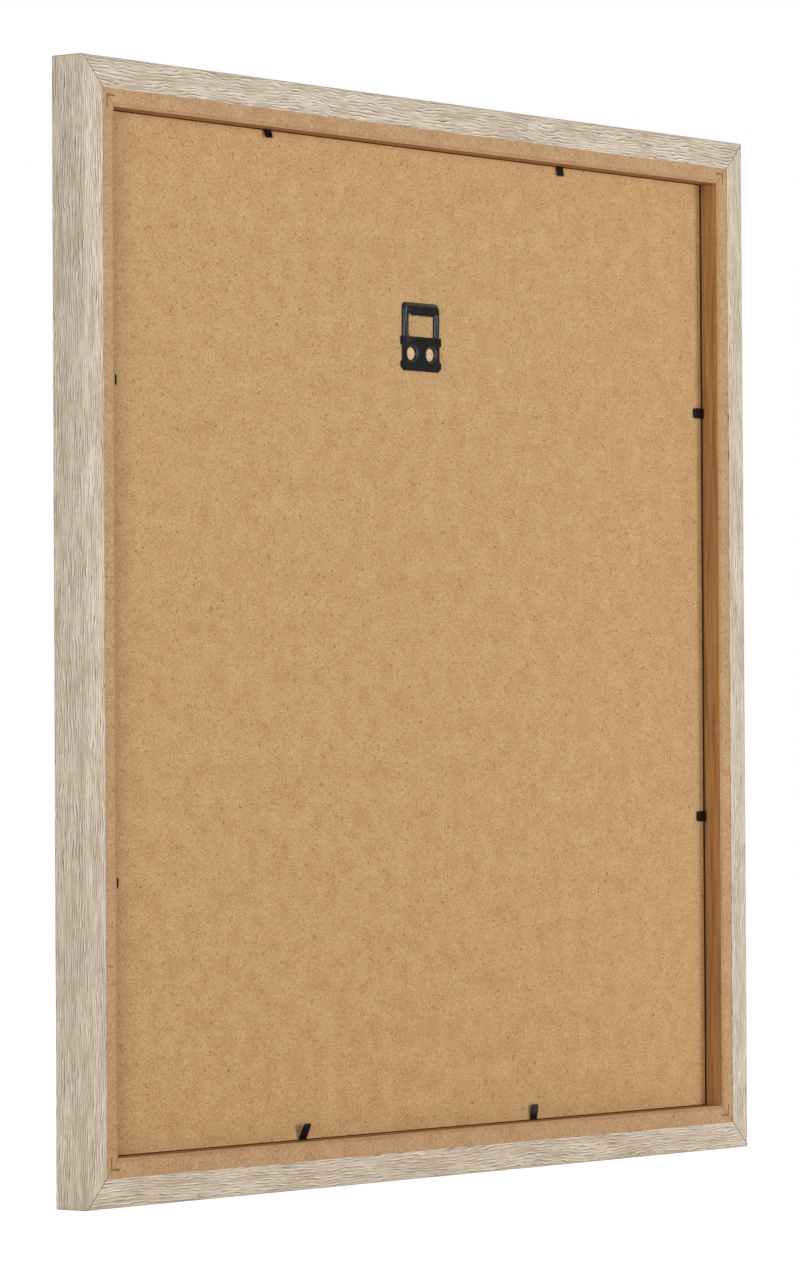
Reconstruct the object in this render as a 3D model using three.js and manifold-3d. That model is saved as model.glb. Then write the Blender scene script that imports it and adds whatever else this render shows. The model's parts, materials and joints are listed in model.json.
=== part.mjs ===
// Square picture frame: foil-wrapped MDF rails, glazing, insert and backing board held by bendable steel tabs,
// with a stamped sawtooth hanger pressed into the board.
// Millimetres. +X is right as seen from the front, +Y points at the wall, +Z is up.
// The origin is where the nail carries the frame: the middle notch of the hanger, in the plane of the wall.

import * as THREE from 'three';
import { mergeVertices } from 'three/addons/utils/BufferGeometryUtils.js';
import Module from 'manifold-3d';

const wasm = await Module();
wasm.setup();

// Picture format and the play of the pack in the rabbet
const PICTURE_WIDTH = 500;
const PICTURE_HEIGHT = 500;
const PACK_PLAY = 1;

// Moulding section, from the outer edge inwards and from the back forwards
const BACK_WIDTH = 23.5;
const RABBET_WIDTH = 6.5;
const LIP_THICKNESS = 4;
const REAR_RECESS = 11;
const EDGE_RADIUS = 1.2;
const SIGHT_RADIUS = 1;
const BEVEL_WIDTH = 1.8;
const BEVEL_DROP = 0.6;
const MITRE_GAP = 0.12;

// Foil wrap on the moulding
const FOIL_THICKNESS = 0.3;
const FOIL_RETURN_TOP = 14.9;
const FOIL_RETURN_SIDE = 14.4;
const FOIL_RETURN_BOTTOM = 14;
const GLUE_LINE = 0.05;

// Pack held in the rabbet, front to back
const PANE_THICKNESS = 2;
const PANE_ARRIS = 0.3;
const INSERT_THICKNESS = 0.35;
const BOARD_THICKNESS = 2.5;
const BOARD_END_GAP = 0.5;
const PACK_REST_GAP = 0.3;
const LAYER_GAP = 0.05;

// V-nails across the mitres
const NAIL_INSET = 18;
const NAIL_WING = 6;
const NAIL_THICKNESS = 0.5;
const NAIL_LENGTH = 7;
const NAIL_SINK = 0.1;
const NAIL_CLEARANCE = 0.15;

// Flex tabs: flat steel points driven into the rabbet wall and bent where they leave it
const TAB_LENGTH = 15;
const TAB_WIDTH = 5.5;
const TAB_THICKNESS = 0.5;
const TAB_TIP_RADIUS = 1.3;
const TAB_LEAD = 1.2;
const TAB_ABOVE_BOARD = 0.3;
const TAB_CLEARANCE = 0.15;
const SHANK_STAND_OUT = 0.15;
const BEND_GAP = 0.1;

// Stations run anticlockwise as seen from the front, from the middle of each rail
const TABS = [
  { rail: 'bottom', place: 'right', station: 99.7, exposed: 9.2, lift: 24 },
  { rail: 'bottom', place: 'left', station: -92.4, exposed: 8.5, lift: 9 },
  { rail: 'right', place: 'upper', station: 120.9, exposed: 9, lift: 25 },
  { rail: 'right', place: 'lower', station: -120.2, exposed: 9, lift: 23 },
  { rail: 'top', place: 'right', station: -123.5, exposed: 4.5, lift: 21 },
  { rail: 'top', place: 'left', station: 120.3, exposed: 5.3, lift: 10 },
  { rail: 'left', place: 'upper', station: -125.7, exposed: 9.2, lift: 0 },
  { rail: 'left', place: 'lower', station: 93.8, exposed: 8.3, lift: 0 },
];

// Sawtooth hanger, heights measured from its lower edge
const HANGER_DROP = 78.2;
const HANGER_SHEET = 0.9;
const PLATE_WIDTH = 33;
const PLATE_HEIGHT = 17.6;
const PLATE_CORNER_WIDTH = 2.4;
const PLATE_CORNER_HEIGHT = 2.1;
const EAR_PROUD = 1.4;
const EAR_SLOPE = 0.6;
const LOWER_EAR_HEIGHT = 2.6;
const UPPER_EAR_HEIGHT = 4.1;
const LOOP_WIDTH = 31;
const LOOP_CORNER = 2.6;
const LOOP_RAISE = 0.8;
const LOOP_FLANGE = 0.5;
const LOOP_SHOULDER = 1.5;
const LOOP_RAMP = 2.5;
const BAR_FLANGE = 0.6;
const BAR_ROUND = 1.4;
const WINDOW_WIDTH = 21.6;
const WINDOW_HEIGHT = 10.6;
const WINDOW_CORNER = 0.8;
const TOP_BAR_HEIGHT = 5.7;
const TOOTH_COUNT = 8;
const TOOTH_PITCH = 2.27;
const TOOTH_DEPTH = 1.2;
const COLLAR_SPACING = 15.8;
const COLLAR_HEIGHT = 8.85;
const COLLAR_BORE = 6.8;
const COLLAR_WALL = 0.7;
const COLLAR_ROUND = 1.2;
const COLLAR_BITE = 1.8;
const COLLAR_CLEARANCE = 0.15;
const PLUG_SINK = 0.1;

// Facets on round forms
const EDGE_STEPS = 4;
const TIP_STEPS = 4;
const BEND_SIDES = 12;
const COLLAR_SIDES = 36;
const ROUND_STEPS = 5;
const SHOULDER_STEPS = 4;
const CORNER_STEPS = 4;

// Depths from the back plane
const BOARD_BACK = REAR_RECESS;
const BOARD_FRONT = BOARD_BACK + BOARD_THICKNESS;
const INSERT_BACK = BOARD_FRONT + LAYER_GAP;
const INSERT_FRONT = INSERT_BACK + INSERT_THICKNESS;
const PANE_BACK = INSERT_FRONT + LAYER_GAP;
const PANE_FRONT = PANE_BACK + PANE_THICKNESS;
const LIP_BACK = PANE_FRONT + LAYER_GAP;
const DEPTH = LIP_BACK + LIP_THICKNESS;
const CORE_SKIN = FOIL_THICKNESS + GLUE_LINE;
const TAB_AXIS_DEPTH = BOARD_BACK - TAB_ABOVE_BOARD - TAB_THICKNESS / 2;
const TAB_AXIS_STAND_OUT = SHANK_STAND_OUT + BEND_GAP + TAB_THICKNESS / 2;

// The pack lies over to the right rail, as far as its play lets it
const PACK_SHIFT = PACK_PLAY - PACK_REST_GAP;

// Overall sizes
const MOULDING_WIDTH = BACK_WIDTH + RABBET_WIDTH;
const OUTER_WIDTH = PICTURE_WIDTH + 2 * (PACK_PLAY + BACK_WIDTH);
const OUTER_HEIGHT = PICTURE_HEIGHT + 2 * (PACK_PLAY + BACK_WIDTH);

// Heights on the hanger and its place on the board
const NOTCH_HEIGHT = PLATE_HEIGHT + WINDOW_HEIGHT + TOOTH_DEPTH;
const HANGER_HEIGHT = NOTCH_HEIGHT + TOP_BAR_HEIGHT;
const HANGER_BOTTOM = PICTURE_HEIGHT / 2 - HANGER_DROP - HANGER_HEIGHT;
const COLLAR_OUTER = COLLAR_BORE / 2 + COLLAR_WALL;
const LOOP_CROWN = LOOP_RAISE + HANGER_SHEET;
const LOOP_FOOT = PLATE_HEIGHT - (HANGER_SHEET * LOOP_RAMP) / LOOP_CROWN;

// Cutters run this far past the surface they open
const OVERRUN = 1;
const WELD = 0.2;

const RAILS = [
  { name: 'bottom', turn: 0, length: OUTER_WIDTH, reach: OUTER_HEIGHT / 2, foilReturn: FOIL_RETURN_BOTTOM },
  { name: 'left', turn: 90, length: OUTER_HEIGHT, reach: OUTER_WIDTH / 2, foilReturn: FOIL_RETURN_SIDE },
  { name: 'top', turn: 180, length: OUTER_WIDTH, reach: OUTER_HEIGHT / 2, foilReturn: FOIL_RETURN_TOP },
  { name: 'right', turn: 270, length: OUTER_HEIGHT, reach: OUTER_WIDTH / 2, foilReturn: FOIL_RETURN_SIDE },
];

const FINISHES = {
  mdf: { color: 0xc3a078, roughness: 0.85, metalness: 0 },
  foil: { color: 0xc6b7a2, roughness: 0.6, metalness: 0 },
  board: { color: 0xc19968, roughness: 0.8, metalness: 0 },
  blackSteel: { color: 0x1c1c1e, roughness: 0.4, metalness: 0.6 },
  brightSteel: { color: 0x6d6862, roughness: 0.45, metalness: 0.9 },
  pane: { color: 0xe8f0ee, roughness: 0.05, metalness: 0 },
  paper: { color: 0xf4f2ec, roughness: 0.9, metalness: 0 },
};

function degrees(angle) {
  return THREE.MathUtils.degToRad(angle);
}

function point(x, y) {
  return new THREE.Vector2(x, y);
}

function arc(centreX, centreY, radius, from, to, steps) {
  const points = [];
  for (let i = 0; i <= steps; i++) {
    const angle = degrees(from + ((to - from) * i) / steps);
    points.push(point(centreX + radius * Math.cos(angle), centreY + radius * Math.sin(angle)));
  }
  return points;
}

// Closed solid from a geometry whose shared corners are merged
function toSolid(geometry) {
  const bare = geometry.clone();
  bare.deleteAttribute('normal');
  bare.deleteAttribute('uv');
  const merged = mergeVertices(bare);
  const vertProperties = new Float32Array(merged.getAttribute('position').array);
  const triVerts = new Uint32Array(merged.index.array);
  return new wasm.Manifold(new wasm.Mesh({ numProp: 3, vertProperties, triVerts }));
}

function toGeometry(solid) {
  const { vertProperties, triVerts } = solid.getMesh();
  const geometry = new THREE.BufferGeometry();
  geometry.setAttribute('position', new THREE.BufferAttribute(vertProperties, 3));
  geometry.setIndex(new THREE.BufferAttribute(triVerts, 1));
  geometry.computeVertexNormals();
  return geometry;
}

function piece(name, geometry, finish) {
  const mesh = new THREE.Mesh(geometry, new THREE.MeshStandardMaterial(finish));
  mesh.name = name;
  return mesh;
}

// Outline drawn in X and Z, made solid between two depths from the back plane
function slab(outline, fromDepth, toDepth) {
  const geometry = new THREE.ExtrudeGeometry(new THREE.Shape(outline), {
    depth: toDepth - fromDepth,
    bevelEnabled: false,
  });
  geometry.rotateX(Math.PI / 2);
  geometry.translate(0, -fromDepth, 0);
  return geometry;
}

function rectangle(left, bottom, right, top) {
  return [point(left, bottom), point(right, bottom), point(right, top), point(left, top)];
}

// The wrapped side of the section at some distance under the foil's face, from the back round the outside
// to the sight edge. Points are (inset from the outer edge, depth from the back).
function wrapLine(under) {
  const edge = EDGE_RADIUS - under;
  const sight = SIGHT_RADIUS - under;
  const frontCentre = DEPTH - EDGE_RADIUS;
  return [
    ...arc(EDGE_RADIUS, EDGE_RADIUS, edge, 270, 180, EDGE_STEPS),
    ...arc(EDGE_RADIUS, frontCentre, edge, 180, 90, EDGE_STEPS),
    ...arc(MOULDING_WIDTH - SIGHT_RADIUS, DEPTH - SIGHT_RADIUS, sight, 90, 0, EDGE_STEPS),
    point(MOULDING_WIDTH - under, LIP_BACK),
  ];
}

function coreSection() {
  return [
    ...wrapLine(CORE_SKIN),
    point(BACK_WIDTH, LIP_BACK),
    point(BACK_WIDTH, CORE_SKIN + BEVEL_DROP),
    point(BACK_WIDTH - BEVEL_WIDTH, CORE_SKIN),
  ];
}

// The foil starts on the back face, at its return's inset from the outer edge
function foilSection(foilReturn) {
  return [
    point(foilReturn, 0),
    ...wrapLine(0),
    ...wrapLine(FOIL_THICKNESS).reverse(),
    point(foilReturn, FOIL_THICKNESS),
  ];
}

// A length of moulding along X, cut at 45 degrees at both ends, with its outer edge facing down
function mitredLength(section, rail) {
  const geometry = new THREE.ExtrudeGeometry(new THREE.Shape(section), { depth: 1, bevelEnabled: false });
  const position = geometry.getAttribute('position');
  for (let i = 0; i < position.count; i++) {
    const inset = position.getX(i);
    const depth = position.getY(i);
    const end = position.getZ(i) > 0.5 ? 1 : -1;
    position.setXYZ(i, end * (rail.length / 2 - inset - MITRE_GAP), -depth, inset - rail.reach);
  }
  geometry.computeVertexNormals();
  return geometry;
}

// V-nail at one end of a rail: two wings along the two rails, meeting on the mitre
function cornerNail(rail, end, growth, fromDepth, toDepth) {
  const near = NAIL_INSET - growth;
  const inner = NAIL_INSET + NAIL_THICKNESS + growth;
  const far = NAIL_INSET + NAIL_WING + growth;
  const outline = [
    [near, near],
    [far, near],
    [far, inner],
    [inner, inner],
    [inner, far],
    [near, far],
  ].map(([along, inset]) => point(end * (rail.length / 2 - along), inset - rail.reach));
  return slab(outline, fromDepth, toDepth);
}

// Buried end of a tab with its driven corners cut, or with some growth the slot that it makes
function tabShank(rail, tab, growth, standOut) {
  const wall = BACK_WIDTH - rail.reach;
  const tip = wall - (TAB_LENGTH - tab.exposed) - growth;
  const left = tab.station - TAB_WIDTH / 2 - growth;
  const right = tab.station + TAB_WIDTH / 2 + growth;
  const outline = [
    point(left + TAB_LEAD, tip),
    point(right - TAB_LEAD, tip),
    point(right, tip + TAB_LEAD),
    point(right, wall + standOut),
    point(left, wall + standOut),
    point(left, tip + TAB_LEAD),
  ];
  const half = TAB_THICKNESS / 2 + growth;
  return slab(outline, TAB_AXIS_DEPTH - half, TAB_AXIS_DEPTH + half);
}

// MDF core with slots for the V-nails at its ends and for the shanks of its tabs
function railCore(rail, tabs) {
  let solid = toSolid(mitredLength(coreSection(), rail));
  const nailFoot = CORE_SKIN + NAIL_SINK + NAIL_LENGTH + NAIL_CLEARANCE;
  for (const end of [-1, 1]) {
    solid = solid.subtract(toSolid(cornerNail(rail, end, NAIL_CLEARANCE, CORE_SKIN - OVERRUN, nailFoot)));
  }
  for (const tab of tabs) {
    solid = solid.subtract(toSolid(tabShank(rail, tab, TAB_CLEARANCE, OVERRUN)));
  }
  return toGeometry(solid);
}

// Blade of a tab lying along +Z from its bend, a round on the X axis that turns free of the shank
function tabBlade(tab) {
  const reach = tab.exposed - TAB_AXIS_STAND_OUT;
  const half = TAB_WIDTH / 2;
  const tipCentre = half - TAB_TIP_RADIUS;
  const outline = [
    point(-half, 0),
    point(half, 0),
    ...arc(tipCentre, reach - TAB_TIP_RADIUS, TAB_TIP_RADIUS, 0, 90, TIP_STEPS),
    ...arc(-tipCentre, reach - TAB_TIP_RADIUS, TAB_TIP_RADIUS, 90, 180, TIP_STEPS),
  ];
  const blade = toSolid(slab(outline, -TAB_THICKNESS / 2, TAB_THICKNESS / 2));
  const bend = new THREE.CylinderGeometry(TAB_THICKNESS / 2, TAB_THICKNESS / 2, TAB_WIDTH, BEND_SIDES);
  bend.rotateZ(Math.PI / 2);
  return toGeometry(blade.add(toSolid(bend)));
}

function flexTab(rail, tab) {
  const place = `${rail.name}_${tab.place}`;
  const wall = BACK_WIDTH - rail.reach;
  const shank = piece(`tab_shank_${place}`, tabShank(rail, tab, 0, SHANK_STAND_OUT), FINISHES.blackSteel);
  const blade = piece(`flex_tab_${place}`, tabBlade(tab), FINISHES.blackSteel);
  blade.position.set(tab.station, -TAB_AXIS_DEPTH, wall + TAB_AXIS_STAND_OUT);
  blade.rotation.x = degrees(-tab.lift);
  return [shank, blade];
}

// One side of the frame: core, foil and tabs, and on the level rails the V-nails at both ends
function side(rail) {
  const group = new THREE.Group();
  const tabs = TABS.filter((tab) => tab.rail === rail.name);
  group.add(piece(`${rail.name}_rail`, railCore(rail, tabs), FINISHES.mdf));
  group.add(piece(`${rail.name}_rail_foil`, mitredLength(foilSection(rail.foilReturn), rail), FINISHES.foil));
  for (const tab of tabs) {
    group.add(...flexTab(rail, tab));
  }
  if (rail.turn % 180 === 0) {
    const top = CORE_SKIN + NAIL_SINK;
    for (const end of [-1, 1]) {
      const hand = (end > 0) === (rail.turn === 0) ? 'right' : 'left';
      const nail = cornerNail(rail, end, 0, top, top + NAIL_LENGTH);
      group.add(piece(`v_nail_${rail.name}_${hand}`, nail, FINISHES.brightSteel));
    }
  }
  group.rotation.y = degrees(rail.turn);
  return group;
}

// Sheet of the picture's width, as tall as the rabbet less a gap at each end
function packSheet(fromDepth, toDepth, endGap) {
  const half = point(PICTURE_WIDTH / 2, PICTURE_HEIGHT / 2 + PACK_PLAY - endGap);
  return slab(rectangle(PACK_SHIFT - half.x, -half.y, PACK_SHIFT + half.x, half.y), fromDepth, toDepth);
}

// Glazing with its edges eased on both faces
function glazingPane() {
  const half = point(PICTURE_WIDTH / 2 - PANE_ARRIS, PICTURE_HEIGHT / 2 - PANE_ARRIS);
  const geometry = new THREE.ExtrudeGeometry(new THREE.Shape(rectangle(-half.x, -half.y, half.x, half.y)), {
    depth: PANE_THICKNESS - 2 * PANE_ARRIS,
    bevelThickness: PANE_ARRIS,
    bevelSize: PANE_ARRIS,
    bevelSegments: 1,
  });
  geometry.rotateX(Math.PI / 2);
  geometry.translate(PACK_SHIFT, -PANE_BACK - PANE_ARRIS, 0);
  return geometry;
}

// Places of the two collars on the back of the board
function collarPlaces() {
  const height = HANGER_BOTTOM + COLLAR_HEIGHT;
  return [-1, 1].map((hand) => new THREE.Vector3((hand * COLLAR_SPACING) / 2, -BOARD_BACK, height));
}

// Turned form whose axis points at the wall; the profile is (radius, height above the board)
function turned(profile, place) {
  const geometry = new THREE.LatheGeometry(profile, COLLAR_SIDES);
  geometry.translate(place.x, place.y, place.z);
  return geometry;
}

// Board with a ring groove for each collar and the fibre pressed down inside it
function backingBoard() {
  let solid = toSolid(packSheet(BOARD_BACK, BOARD_FRONT, BOARD_END_GAP));
  const plug = COLLAR_BORE / 2 - COLLAR_CLEARANCE;
  const outside = COLLAR_OUTER + COLLAR_CLEARANCE;
  const foot = -COLLAR_BITE - COLLAR_CLEARANCE;
  const cutter = [
    point(0, -PLUG_SINK),
    point(plug, -PLUG_SINK),
    point(plug, foot),
    point(outside, foot),
    point(outside, OVERRUN),
    point(0, OVERRUN),
  ];
  for (const place of collarPlaces()) {
    solid = solid.subtract(toSolid(turned(cutter, place)));
  }
  return toGeometry(solid);
}

// Solid through a stack of outlines with as many corners each, every one at its height above the board
function lofted(rings) {
  const positions = [];
  const corner = (ring, i) => {
    const at = ring.outline[i % ring.outline.length];
    return [at.x, ring.height - BOARD_BACK, at.y];
  };
  const first = rings[0];
  const last = rings[rings.length - 1];
  for (let i = 0; i < first.outline.length; i++) {
    for (let k = 1; k < rings.length; k++) {
      const low = corner(rings[k - 1], i);
      const nextLow = corner(rings[k - 1], i + 1);
      const high = corner(rings[k], i);
      const nextHigh = corner(rings[k], i + 1);
      positions.push(...low, ...high, ...nextLow, ...nextLow, ...high, ...nextHigh);
    }
    if (i > 1) {
      positions.push(...corner(first, 0), ...corner(first, i - 1), ...corner(first, i));
      positions.push(...corner(last, 0), ...corner(last, i), ...corner(last, i - 1));
    }
  }
  const geometry = new THREE.BufferGeometry();
  geometry.setAttribute('position', new THREE.Float32BufferAttribute(positions, 3));
  return geometry;
}

// Outline of the raised loop, drawn in at its sides and top, and by the ramp that rises from the foot
function loopOutline(drawnIn, ramp) {
  const half = LOOP_WIDTH / 2 - drawnIn;
  const bottom = HANGER_BOTTOM + LOOP_FOOT + ramp;
  const top = HANGER_BOTTOM + HANGER_HEIGHT - drawnIn;
  return [
    point(-half, bottom),
    point(half, bottom),
    ...arc(half - LOOP_CORNER, top - LOOP_CORNER, LOOP_CORNER, 0, 90, CORNER_STEPS),
    ...arc(LOOP_CORNER - half, top - LOOP_CORNER, LOOP_CORNER, 90, 180, CORNER_STEPS),
  ];
}

// The loop as a drawn tray: steep flanges with a round shoulder. Its hollow side lies one sheet further in.
function loopTray(within) {
  const shoulderFoot = LOOP_CROWN - LOOP_SHOULDER;
  const shoulder = arc(LOOP_FLANGE + LOOP_SHOULDER, shoulderFoot, LOOP_SHOULDER, 180, 90, SHOULDER_STEPS);
  const rings = [point(0, 0), ...shoulder].map((at) => ({
    outline: loopOutline(at.x + within, (LOOP_RAMP * at.y) / LOOP_CROWN),
    height: at.y - within,
  }));
  return lofted(rings);
}

// The hollow under the loop, kept clear of the flanges that turn down to the board beside the window
function loopHollow() {
  let hollow = toSolid(loopTray(HANGER_SHEET));
  const bottom = HANGER_BOTTOM + LOOP_FOOT;
  const top = HANGER_BOTTOM + NOTCH_HEIGHT;
  const inner = WINDOW_WIDTH / 2;
  for (const left of [inner, -inner - BAR_FLANGE]) {
    const flange = slab(rectangle(left, bottom, left + BAR_FLANGE, top), BOARD_BACK - LOOP_CROWN, BOARD_BACK + OVERRUN);
    hollow = hollow.subtract(toSolid(flange));
  }
  return hollow;
}

// Window in the loop, with the teeth hanging from its upper edge
function windowOutline() {
  const bottom = HANGER_BOTTOM + PLATE_HEIGHT;
  const tip = bottom + WINDOW_HEIGHT;
  const half = WINDOW_WIDTH / 2;
  const teethHalf = (TOOTH_COUNT * TOOTH_PITCH) / 2;
  const outline = [
    point(-half, bottom + WINDOW_CORNER),
    point(-half + WINDOW_CORNER, bottom),
    point(half - WINDOW_CORNER, bottom),
    point(half, bottom + WINDOW_CORNER),
    point(half, tip + TOOTH_DEPTH),
  ];
  for (let i = 0; i < TOOTH_COUNT; i++) {
    const right = teethHalf - i * TOOTH_PITCH;
    outline.push(point(right, tip + TOOTH_DEPTH), point(right - TOOTH_PITCH / 2, tip));
  }
  outline.push(point(-teethHalf, tip + TOOTH_DEPTH), point(-half, tip + TOOTH_DEPTH));
  return outline;
}

// What is taken off to round a bar's edge along one side of the window
function barRound(hand) {
  const half = WINDOW_WIDTH / 2 + BAR_ROUND;
  const bottom = HANGER_BOTTOM + PLATE_HEIGHT;
  const top = HANGER_BOTTOM + NOTCH_HEIGHT;
  const inner = WINDOW_WIDTH / 2 - WELD;
  const round = arc(half, LOOP_CROWN - BAR_ROUND, BAR_ROUND, 180, 90, SHOULDER_STEPS);
  const rings = [...round, point(half, LOOP_CROWN + OVERRUN)].map((at) => ({
    outline: hand > 0 ? rectangle(inner, bottom, at.x, top) : rectangle(-at.x, bottom, -inner, top),
    height: at.y,
  }));
  return lofted(rings);
}

// Flat foot of the hanger: two ears on each side and cut lower corners
function plateOutline() {
  const half = PLATE_WIDTH / 2;
  const waist = half - EAR_PROUD;
  const lowerEar = PLATE_CORNER_HEIGHT + LOWER_EAR_HEIGHT;
  const upperEar = PLATE_HEIGHT - UPPER_EAR_HEIGHT;
  const rightSide = [
    point(half - PLATE_CORNER_WIDTH, 0),
    point(half, PLATE_CORNER_HEIGHT),
    point(half, lowerEar),
    point(waist, lowerEar + EAR_SLOPE),
    point(waist, upperEar - EAR_SLOPE),
    point(half, upperEar),
    point(half, PLATE_HEIGHT),
  ];
  const leftSide = rightSide.map((at) => point(-at.x, at.y)).reverse();
  return [...rightSide, ...leftSide].map((at) => point(at.x, at.y + HANGER_BOTTOM));
}

// Collar drawn out of the foot and pressed into the board, with a round mouth
function collarProfile() {
  const bore = COLLAR_BORE / 2;
  const mouth = bore + COLLAR_ROUND;
  return [
    ...arc(mouth, HANGER_SHEET - COLLAR_ROUND, COLLAR_ROUND, 90, 180, ROUND_STEPS),
    point(bore, -COLLAR_BITE),
    point(COLLAR_OUTER, -COLLAR_BITE),
    point(COLLAR_OUTER, 0),
    point(mouth + WELD, 0),
    point(mouth + WELD, HANGER_SHEET),
    point(mouth, HANGER_SHEET),
  ];
}

function sawtoothHanger() {
  const opening = slab(windowOutline(), BOARD_BACK - LOOP_CROWN - OVERRUN, BOARD_BACK + OVERRUN);
  const plate = slab(plateOutline(), BOARD_BACK - HANGER_SHEET, BOARD_BACK);
  let solid = toSolid(loopTray(0)).subtract(loopHollow()).subtract(toSolid(opening));
  for (const hand of [-1, 1]) {
    solid = solid.subtract(toSolid(barRound(hand)));
  }
  solid = solid.add(toSolid(plate));
  const mouth = COLLAR_BORE / 2 + COLLAR_ROUND;
  const hole = [point(0, -OVERRUN), point(mouth, -OVERRUN), point(mouth, LOOP_CROWN), point(0, LOOP_CROWN)];
  for (const place of collarPlaces()) {
    solid = solid.subtract(toSolid(turned(hole, place))).add(toSolid(turned(collarProfile(), place)));
  }
  return toGeometry(solid);
}

const frame = new THREE.Group();
frame.add(...RAILS.map(side));
frame.add(piece('glazing_pane', glazingPane(), FINISHES.pane));
frame.add(piece('picture_insert', packSheet(INSERT_BACK, INSERT_FRONT, PACK_PLAY), FINISHES.paper));
frame.add(piece('backing_board', backingBoard(), FINISHES.board));
frame.add(piece('sawtooth_hanger', sawtoothHanger(), FINISHES.blackSteel));
frame.position.z = -HANGER_BOTTOM - NOTCH_HEIGHT;

export default frame;
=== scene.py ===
"""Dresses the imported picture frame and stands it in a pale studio, seen from behind.

Every sub-assembly is a class that holds its sizes in millimetres. A length becomes metres only where a mesh
or a node takes it. Rails are called left and right as seen from the front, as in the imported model.
"""

import json
import logging
import math
from dataclasses import dataclass, field
from enum import Enum
from typing import Any, ClassVar

import bmesh
import bpy
from mathutils import Matrix, Vector

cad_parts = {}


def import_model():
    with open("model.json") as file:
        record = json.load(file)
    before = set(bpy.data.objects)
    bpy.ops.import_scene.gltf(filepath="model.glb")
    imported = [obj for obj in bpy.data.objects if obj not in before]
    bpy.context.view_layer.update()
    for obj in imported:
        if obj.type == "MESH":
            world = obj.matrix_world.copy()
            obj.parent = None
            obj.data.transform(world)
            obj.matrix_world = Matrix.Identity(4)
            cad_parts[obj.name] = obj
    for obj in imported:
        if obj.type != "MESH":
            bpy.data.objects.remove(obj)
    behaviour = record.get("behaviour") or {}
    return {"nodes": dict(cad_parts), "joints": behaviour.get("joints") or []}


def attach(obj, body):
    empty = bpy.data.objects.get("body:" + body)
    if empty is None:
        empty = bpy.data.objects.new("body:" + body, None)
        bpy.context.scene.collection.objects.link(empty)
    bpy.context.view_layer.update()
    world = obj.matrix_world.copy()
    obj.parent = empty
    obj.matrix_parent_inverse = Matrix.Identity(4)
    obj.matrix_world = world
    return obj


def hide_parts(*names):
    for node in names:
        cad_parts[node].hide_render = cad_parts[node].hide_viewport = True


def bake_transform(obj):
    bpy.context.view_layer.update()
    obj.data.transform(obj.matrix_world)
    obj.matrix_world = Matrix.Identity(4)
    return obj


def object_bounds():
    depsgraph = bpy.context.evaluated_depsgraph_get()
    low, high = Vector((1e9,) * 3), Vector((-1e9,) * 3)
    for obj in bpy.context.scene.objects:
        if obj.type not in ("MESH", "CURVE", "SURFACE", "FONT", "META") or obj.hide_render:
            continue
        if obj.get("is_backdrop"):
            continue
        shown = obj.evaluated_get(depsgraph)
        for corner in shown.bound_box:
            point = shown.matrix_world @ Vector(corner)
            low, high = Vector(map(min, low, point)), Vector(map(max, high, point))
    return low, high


LOG = logging.getLogger("picture_frame")
MM = 0.001
ROOT_BODY = "frame"
# Points closer than this many millimetres are one point, and faces that turn by fewer degrees are one plane.
SAME_POINT = 0.0005
SAME_PLANE = 0.2

Material = bpy.types.Material
Piece = bpy.types.Object
Socket = bpy.types.NodeSocket
Tree = bpy.types.NodeTree
Colour = tuple[float, float, float, float]
Triple = tuple[float, float, float]
# The two values between which something fades in or changes over
Fade = tuple[float, float]


def linear(colour: str) -> Colour:
    """Turns an sRGB hex colour into linear light.

    Args:
        colour: Six hex digits, such as "c6b7a2".

    Returns:
        Red, green and blue in linear light, with an alpha of one.
    """
    parts = [int(colour[i : i + 2], 16) / 255 for i in (0, 2, 4)]
    red, green, blue = (c / 12.92 if c <= 0.04045 else ((c + 0.055) / 1.055) ** 2.4 for c in parts)
    return red, green, blue, 1.0


def add_node(tree: Tree, kind: str, inputs: dict | None = None, **settings: Any) -> bpy.types.Node:
    """Adds a node to a tree, with its settings, values and links.

    Args:
        tree: Tree that takes the node.
        kind: Blender's name for the type of node.
        inputs: Values, or sockets to link, by the name or number of the node's input.
        settings: Properties of the node itself.

    Returns:
        The new node.
    """
    node = tree.nodes.new(kind)
    for name, value in settings.items():
        setattr(node, name, value)
    for key, value in (inputs or {}).items():
        if isinstance(value, Socket):
            tree.links.new(value, node.inputs[key])
        else:
            node.inputs[key].default_value = value
    return node


def empty_material(name: str) -> tuple[Material, Tree]:
    """Makes a material with an empty node tree.

    Args:
        name: Name of the real material.

    Returns:
        The material and its tree.
    """
    material = bpy.data.materials.new(name)
    material.use_nodes = True
    material.node_tree.nodes.clear()
    return material, material.node_tree


def per_mm(x: float, y: float | None = None, z: float | None = None) -> Triple:
    """Gives the scale at which a pattern on Object coordinates has these sizes in millimetres."""
    return 1 / (x * MM), 1 / ((y or x) * MM), 1 / ((z or x) * MM)


def facing_back(tree: Tree) -> Socket:
    """Adds the nodes that find how squarely a surface faces the frame's back or front.

    Args:
        tree: Tree of the material.

    Returns:
        Socket that is one on a flat back or front and zero on a side wall.
    """
    normal = add_node(tree, "ShaderNodeNewGeometry").outputs["Normal"]
    depth = add_node(tree, "ShaderNodeSeparateXYZ", {0: normal}).outputs["Y"]
    return add_node(tree, "ShaderNodeMath", {0: depth}, operation="ABSOLUTE").outputs[0]


def dress(piece: Piece, material: Material) -> None:
    """Gives a whole piece one material."""
    piece.data.materials.clear()
    piece.data.materials.append(material)


def link_mesh(name: str, mesh: bpy.types.Mesh) -> Piece:
    """Puts a mesh into the scene as a new object at the origin.

    Args:
        name: Name of the piece.
        mesh: Mesh with its place in its vertices.

    Returns:
        The new object.
    """
    piece = bpy.data.objects.new(name, mesh)
    bpy.context.scene.collection.objects.link(piece)
    return piece


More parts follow.
